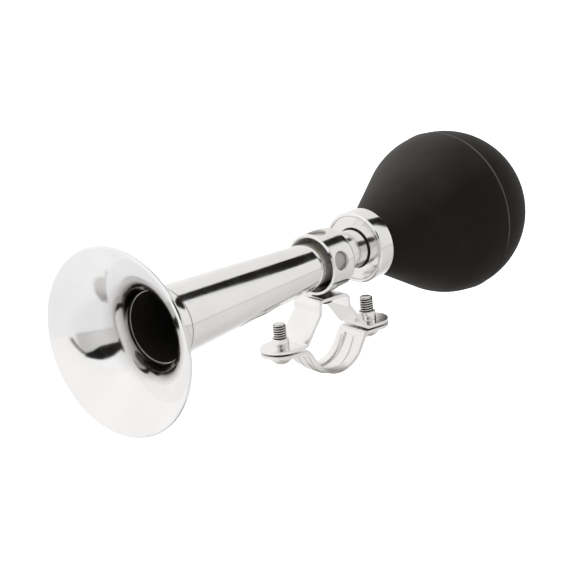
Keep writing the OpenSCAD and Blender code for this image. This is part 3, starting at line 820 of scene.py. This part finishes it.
def strap_path():
    """Mid line of the lower strap: round end, ear, bend, straight leg, grip, and the same again mirrored."""
    lean, ear_z, bend, grip_steps = math.radians(31), -0.9, 1.8, 64
    run = Vector((math.sin(lean), math.cos(lean)))
    foot = Vector((math.cos(lean), -math.sin(lean))) * GRIP_R
    corner_x = (GRIP_R + ear_z * math.sin(lean)) / math.cos(lean)
    right = [(SCREW_X + STRAP_HALF * math.sin(math.radians(5 * k)), ear_z, 0) for k in range(18, -1, -1)]
    right += [(SCREW_X - 1.5 * k, ear_z, 0) for k in range(1, 3)] + [(corner_x, ear_z, bend)]
    right += [(foot.x + run.x * d, foot.y + run.y * d, 0) for d in (4.0, 3.7, 3.4, 3.1, 2.8, 2.5, 1.7, 0.9)]
    turns = [-lean - (math.pi - 2 * lean) * k / grip_steps for k in range(grip_steps + 1)]
    grip = [(GRIP_R * math.cos(a), GRIP_R * math.sin(a), 0) for a in turns]
    return bent_path(right + grip + [(-x, z, r) for x, z, r in reversed(right)]), run


def make_strap():
    """Lower strap as one pressed sheet: round grip, straight legs, ears and the rib along its middle."""
    rib_deep, rib_half, rib_slope, rib_end = 0.7, 3.6, 1.1, 3.6
    edge, turns, skin, ear_from, narrowest = 0.28, 5, SHEET / 2, 13, 0.05
    path, run = strap_path()
    # places across the strap as shares of its half width, closer together where the rib's flanks are
    offsets = [-1, -0.86, -0.72, -0.6] + [-3.95 / STRAP_HALF + 0.2 / STRAP_HALF * k for k in range(11)]
    offsets = sorted(offsets + [0.0, -0.12] + [-v for v in offsets] + [0.12])
    angles = [math.pi / 2 * k / turns for k in range(turns + 1)]
    bm = bmesh.new()
    rings = []
    for i, p in enumerate(path):
        ahead = (path[min(i + 1, len(path) - 1)] - path[max(i - 1, 0)]).normalized()
        inward = Vector((ahead.y, -ahead.x))
        if (inward.y if abs(p.x) > ear_from else inward.dot(-p)) < 0:
            inward = -inward
        over = max(0.0, abs(p.x) - SCREW_X)
        wide = math.sqrt(max(STRAP_HALF ** 2 - over ** 2, narrowest ** 2))
        along = p.dot(run if p.x > 0 else Vector((-run.x, run.y)))
        rib = ease(1 - (along - rib_end)) * rib_deep
        e = min(edge, wide * 0.45)

        def place(y, lift):
            down = rib * ease((rib_half - abs(y)) / rib_slope)
            q = p + inward * (lift - down)
            return bm.verts.new((q.x * MM, y * MM, q.y * MM))

        flat = wide - e
        ring = [place(v * flat, skin) for v in offsets]
        ring += [place(flat + e * math.sin(a), skin - e + e * math.cos(a)) for a in angles[1:]]
        ring += [place(flat + e * math.cos(a), -skin + e - e * math.sin(a)) for a in angles[:-1]]
        ring += [place(v * flat, -skin) for v in reversed(offsets)]
        ring += [place(-flat - e * math.sin(a), -skin + e - e * math.cos(a)) for a in angles[1:]]
        ring += [place(-flat - e * math.cos(a), skin - e + e * math.sin(a)) for a in angles[:-1]]
        rings.append(ring)
    for a, b in zip(rings, rings[1:]):
        for k in range(len(a)):
            n = (k + 1) % len(a)
            bm.faces.new((a[k], b[k], b[n], a[n]))
    bm.faces.new(rings[0])
    bm.faces.new(rings[-1])
    strap = finish_mesh("clamp_lower", bm, [STRAP_MAT], angle=50, merge=1e-8)
    for side in (-1, 1):
        drill(strap, (side * SCREW_X, 0, -1), SCREW_R + 0.35, 6)
    return strap


def drill(obj, centre, radius, length):
    """Cuts a round upright hole through a piece."""
    cut = bmesh.new()
    bmesh.ops.create_cone(cut, cap_ends=True, segments=96, radius1=radius * MM, radius2=radius * MM,
                          depth=length * MM)
    bmesh.ops.translate(cut, vec=Vector(centre) * MM, verts=cut.verts)
    cutter = finish_mesh(obj.name + "_drill", cut, list(obj.data.materials))
    apply_boolean(obj, cutter)


def apply_boolean(obj, cutter):
    """Subtracts one object from another for good and removes the cutter."""
    boolean = obj.modifiers.new("cut", "BOOLEAN")
    boolean.operation, boolean.object, boolean.solver = "DIFFERENCE", cutter, "EXACT"
    bpy.context.view_layer.update()
    made = bpy.data.meshes.new_from_object(obj.evaluated_get(bpy.context.evaluated_depsgraph_get()))
    obj.modifiers.clear()
    obj.data = made
    made.name = obj.name
    made.set_sharp_from_angle(angle=math.radians(50))
    bpy.data.objects.remove(cutter)


strap = make_strap()
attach(strap, "strap")
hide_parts("lower_strap")


def thread_radius(theta, z):
    """Radius of a rolled right-hand thread at a height above the screw's head."""
    root, flank, plain, runout = 0.12, 0.7, 0.2, 0.6
    phase = (z / THREAD_PITCH - theta / (2 * math.pi)) % 1.0
    wave = abs(phase - 0.5) * 2
    tooth = ease((wave - root) / flank)
    fade = limit((z - plain) / runout)
    r = SCREW_R - THREAD_DEPTH * fade * (1 - tooth)
    return min(r, SCREW_R - TIP_BEVEL + max(0.0, SCREW_LEN - z))


def make_screw(name, side, slot_angle):
    """Threaded shaft with a bevelled tip above, and a domed head with a slot below the ear."""
    segs, per_turn, dome_steps = 72, 16, 18
    rim, root_from, root_to, root_r = 0.8, 0.8, SCREW_LEN - 0.2, SCREW_R - 0.2
    rise = HEAD_H - rim
    dome = (HEAD_R ** 2 + rise ** 2) / (2 * rise)
    low = -rim - rise
    bm = bmesh.new()
    rings = []

    def at(x, y, z):
        return bm.verts.new(((side * SCREW_X + x) * MM, y * MM, (HEAD_SEAT + z) * MM))

    def ring(radius_of, z):
        turns = [2 * math.pi * k / segs for k in range(segs)]
        rings.append([at(radius_of(t) * math.cos(t), radius_of(t) * math.sin(t), z) for t in turns])

    def plain_ring(radius, z):
        ring(lambda t: radius, z)

    tip = at(0, 0, SCREW_LEN - TIP_DOME)
    for share in (0.35, 0.7, 0.92):
        plain_ring((SCREW_R - TIP_BEVEL) * share, SCREW_LEN - TIP_DOME * (1 - share ** 3))
    count = int(SCREW_LEN / THREAD_PITCH * per_turn)
    for k in range(count + 1):
        z = SCREW_LEN * (1 - k / count)
        ring(lambda t: thread_radius(t, z), z)
    for r, z in ((3.2, 0.0), (HEAD_R - 0.25, 0.0), (HEAD_R - 0.07, -0.07), (HEAD_R, -0.25), (HEAD_R, -0.6),
                 (HEAD_R - 0.02, -rim)):
        plain_ring(r, z)
    for k in range(1, dome_steps):
        a = math.asin(HEAD_R / dome) * (1 - k / dome_steps)
        plain_ring(dome * math.sin(a), low + dome - dome * math.cos(a))
    pole = at(0, 0, low)
    for i in range(segs):
        j = (i + 1) % segs
        bm.faces.new((tip, rings[0][i], rings[0][j]))
        for a, b in zip(rings, rings[1:]):
            bm.faces.new((a[i], b[i], b[j], a[j]))
        bm.faces.new((rings[-1][i], pole, rings[-1][j]))
    # faces inside the thread's grooves get the near-black painted shade
    for f in bm.faces:
        middle = f.calc_center_median() / MM - Vector((side * SCREW_X, 0, HEAD_SEAT))
        if root_from < middle.z < root_to and middle.xy.length < root_r:
            f.material_index = 1
    screw = finish_mesh(name, bm, [SCREW_MAT, THREAD_SHADE_MAT], angle=50)
    apply_boolean(screw, slot_cutter(name, side, slot_angle))
    return screw


def slot_cutter(name, side, slot_angle):
    """A bar across the head's underside, as wide as the slot and deep enough to cut it."""
    wide, deep, under = 1.2, 2.3, 1
    cut = bmesh.new()
    bmesh.ops.create_cube(cut, size=1.0)
    bmesh.ops.scale(cut, vec=((2 * HEAD_R + 2) * MM, wide * MM, deep * MM), verts=cut.verts)
    turn = Matrix.Rotation(math.radians(slot_angle), 3, "Z")
    bmesh.ops.rotate(cut, cent=(0, 0, 0), matrix=turn, verts=cut.verts)
    height = HEAD_SEAT - HEAD_H - under + deep / 2
    bmesh.ops.translate(cut, vec=(side * SCREW_X * MM, 0, height * MM), verts=cut.verts)
    return finish_mesh(name + "_slot", cut, [SCREW_MAT])


for name, side, angle, node, body in (("screw_front_piece", -1, 20, "clamp_screw_front", "screw_front"),
                                      ("screw_rear_piece", 1, -35, "clamp_screw_rear", "screw_rear")):
    screw = make_screw(name, side, angle)
    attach(screw, body)
    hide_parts(node)


# CAD pieces that stay

# the rivet and washer take the near-black colour that paints the shade under the collar
for node, look in (("swivel_rivet", RIVET_SHADE_MAT), ("swivel_washer", RIVET_SHADE_MAT), ("reed_holder", BRASS_MAT),
                   ("reed_shallot", BRASS_MAT), ("reed_tongue", BRASS_MAT), ("reed_wedge", BRASS_MAT)):
    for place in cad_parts[node].material_slots:
        place.material = look


# Studio

def srgb(*levels):
    """Scene-linear colour for screen levels of 0 to 255."""
    out = []
    for v in levels:
        v /= 255
        out.append(v / 12.92 if v <= 0.04045 else ((v + 0.055) / 1.055) ** 2.4)
    return tuple(out)


def make_world():
    """White tent as the chrome sees it: dark gaps round the camera and past the bulb, greyer ground."""
    world = bpy.data.worlds.new("studio")
    bpy.context.scene.world = world
    world.use_nodes = True
    n = Nodes(world.node_tree)
    way = n.add("SeparateXYZ", Vector=n.add("TexCoord").outputs["Generated"]).outputs
    az = n.math("MULTIPLY_ADD", n.math("ARCTAN2", way[1], way[0]), 0.5 / math.pi, 0.5)
    el = n.math("MULTIPLY", n.math("ARCSINE", way[2]), 180 / math.pi)

    def by_azimuth(stops):
        return n.ramp(az, [((a + 180) / 360, v) for a, v in stops])

    def angles(stops):
        return n.math("MULTIPLY_ADD", by_azimuth([(a, (v + 90) / 180) for a, v in stops]), 180.0, -90.0)

    def levels(stops, warmth=0.006):
        return by_azimuth([(a, srgb(v * (1 + warmth), v, v * (1 - warmth))) for a, v in stops])

    def around(centre, soft, low=0.0, high=1.0):
        return n.remap(el, n.math("SUBTRACT", centre, soft), n.math("ADD", centre, soft), low, high)

    upper = levels([(-180, 247), (-60, 236), (-10, 220), (20, 218), (60, 236), (180, 247)], 0.0)
    middle = levels([(-180, 246), (-148.5, 240), (-146, 190), (-140, 194), (-128, 206), (-60, 215),
                     (-28, 228), (20, 226), (46, 228), (54, 238), (62, 243), (180, 246)])
    lower = levels([(-180, 239), (-156, 237), (-142, 228), (-100, 227), (-27, 216), (-10, 204), (10, 204),
                    (24, 218), (34, 242), (42, 252), (52, 250), (62, 243), (72, 222), (88, 218), (97, 240),
                    (180, 240)])
    ground = levels([(-180, 192), (-162, 174), (-150, 164), (-138, 150), (-126, 183), (-115, 197),
                     (0, 165), (60, 190), (110, 204), (150, 201), (170, 196), (180, 192)], 0.014)
    table_edge = angles([(-180, -11), (-145, -12.5), (-100, -12), (-60, -9), (-28, -7), (0, -7), (40, -8),
                         (100, -12), (180, -11)])
    ground_edge = angles([(-180, -65), (-150, -63.5), (-134, -62), (-120, -64), (-90, -62), (0, -58),
                          (60, -52), (118, -56.5), (124, -63), (180, -65)])
    gap_low = angles([(-180, 70), (-150.5, 70), (-149, 8), (-147, 6.5), (-140, 9.5), (-128, 10.5),
                      (-117, 14.5), (-100, 20), (-60, 25), (-55, 26), (-50, 70), (-18, 70), (-17, 22),
                      (11.5, 22), (13, 70), (180, 70)])
    gap_high = angles([(-180, 0), (-149, 9), (-147, 14), (-142, 24.5), (-139, 28), (-132, 33.5),
                       (-125, 37), (-118, 38), (-100, 39.5), (-60, 47), (-50, 47), (-20, 26),
                       (-17, 29.5), (-15.5, 34), (-14, 38), (-12.5, 58), (14, 60), (180, 60)])
    bluish = by_azimuth([(-180, 1.0), (-100, 1.0), (-60, 0.0), (90, 0.0), (110, 1.0), (180, 1.0)])
    lower = n.mix(n.math("MULTIPLY", bluish, 0.03), lower, (0.5, 0.6, 1.0, 1))
    tone = n.mix(around(table_edge, 0.8), lower, middle)
    line = n.remap(n.math("ABSOLUTE", n.math("SUBTRACT", el, table_edge)), 0.0, 3.5, 1.0, 0.0)
    faint = by_azimuth([(-180, 0.0), (-150, 0.0), (-142, 0.1), (-80, 0.1), (-45, 0.16), (-15, 0.16),
                        (10, 0.0), (180, 0.0)])
    tone = n.mix(n.math("MULTIPLY", line, faint), tone, (0, 0, 0, 1))
    tone = n.mix(around(ground_edge, 1.6), ground, tone)
    above = around(gap_low, 1.5)
    tone = n.mix(above, tone, upper)
    gap = n.math("MULTIPLY", above, around(gap_high, 2.2, 1.0, 0.0))
    tone = n.mix(gap, tone, (*srgb(27, 25, 23), 1))
    streak_at = n.math("MULTIPLY_ADD", n.math("ADD", el, 9.0), 0.21 / 360, (180 - 150.6) / 360)
    away = n.math("ABSOLUTE", n.math("SUBTRACT", az, streak_at))
    streak = n.remap(away, 0.4 / 360, 2.0 / 360, 0.85, 0.0)
    reach = n.math("MULTIPLY", n.remap(el, -11.5, -9.0), n.remap(el, 6.0, 9.0, 1.0, 0.0))
    tone = n.mix(n.math("MULTIPLY", streak, reach), tone, (*srgb(50, 48, 46), 1))
    lit = n.add("Background", Strength=1.06)
    n.put(lit.inputs["Color"], tone)
    plain = n.add("Background", Strength=1.0)
    plain.inputs["Color"].default_value = (1, 1, 1, 1)
    seen = n.add("LightPath").outputs["Is Camera Ray"]
    both = n.add("MixShader")
    n.put(both.inputs[0], seen)
    n.put(both.inputs[1], lit.outputs[0])
    n.put(both.inputs[2], plain.outputs[0])
    n.surface("OutputWorld", both)


def make_floor():
    """Pale sweep under the horn: white to the camera, darker only where the horn shades it."""
    m, n = material("floor_paper")
    grain = n.add("TexNoise", Vector=n.add("TexCoord").outputs["Object"], Scale=60.0, Detail=3.0).outputs[0]
    diffuse = n.add("BsdfDiffuse")
    n.put(diffuse.inputs["Color"], n.mix(n.remap(grain, 0.3, 0.7), (0.86, 0.86, 0.86, 1), (0.9, 0.9, 0.9, 1)))
    glow = n.add("Emission", Strength=0.72)
    glow.inputs["Color"].default_value = (1, 1, 1, 1)
    shown = n.add("AddShader")
    n.put(shown.inputs[0], diffuse.outputs[0])
    n.put(shown.inputs[1], glow.outputs[0])
    both = n.add("MixShader")
    n.put(both.inputs[0], n.add("LightPath").outputs["Is Camera Ray"])
    n.put(both.inputs[1], diffuse.outputs[0])
    n.put(both.inputs[2], shown.outputs[0])
    n.surface("OutputMaterial", both)
    bm = bmesh.new()
    bmesh.ops.create_grid(bm, x_segments=8, y_segments=8, size=30.0)
    bmesh.ops.translate(bm, vec=(0, 0, -0.05), verts=bm.verts)
    floor = finish_mesh("floor", bm, [m])
    floor.visible_glossy = False
    return floor


make_world()
make_floor()


def soft_light(name, place, target, size, power):
    """Round lamp that lights the rubber and the floor but isn't mirrored in the chrome."""
    data = bpy.data.lights.new(name, "AREA")
    data.shape, data.size, data.energy = "DISK", size, power
    lamp = bpy.data.objects.new(name, data)
    lamp.location = place
    lamp.rotation_euler = (Vector(target) - Vector(place)).to_track_quat("-Z", "Y").to_euler()
    bpy.context.scene.collection.objects.link(lamp)
    lamp.visible_glossy = False


soft_light("top_softbox", (-0.4, 0.05, 0.8), (0.02, 0.0, 0.02), 0.7, 3.5)


# Camera

def make_camera():
    """The photograph's view: lens, direction and roll from a fit to the horn's outlines."""
    azimuth, elevation, roll = (math.radians(v) for v in (-36.917, 16.556, -4.804))
    focal, distance, half = 2889.711, 1073.277, 283.5
    aim_x, aim_y = 444.548, 211.412
    back = Vector((math.sin(azimuth) * math.cos(elevation), -math.cos(azimuth) * math.cos(elevation),
                   math.sin(elevation)))
    level = Vector((math.cos(azimuth), math.sin(azimuth), 0))
    rise = back.cross(level)
    right = level * math.cos(roll) + rise * math.sin(roll)
    top = rise * math.cos(roll) - level * math.sin(roll)
    ball = ORIGIN + AXIS * BULB_U
    shift_x, shift_y = (aim_x - half) * distance / focal, -(aim_y - half) * distance / focal
    data = bpy.data.cameras.new("camera")
    data.sensor_width = 36
    data.lens = focal * 36 / (2 * half)
    data.clip_start, data.clip_end = 0.01, 100
    camera = bpy.data.objects.new("camera", data)
    turn = Matrix((right, top, back)).transposed().to_4x4()
    turn.translation = (ball + back * distance - right * shift_x - top * shift_y) * MM
    camera.matrix_world = turn
    bpy.context.scene.collection.objects.link(camera)
    bpy.context.scene.camera = camera


make_camera()
bpy.context.scene.view_settings.view_transform = "Standard"
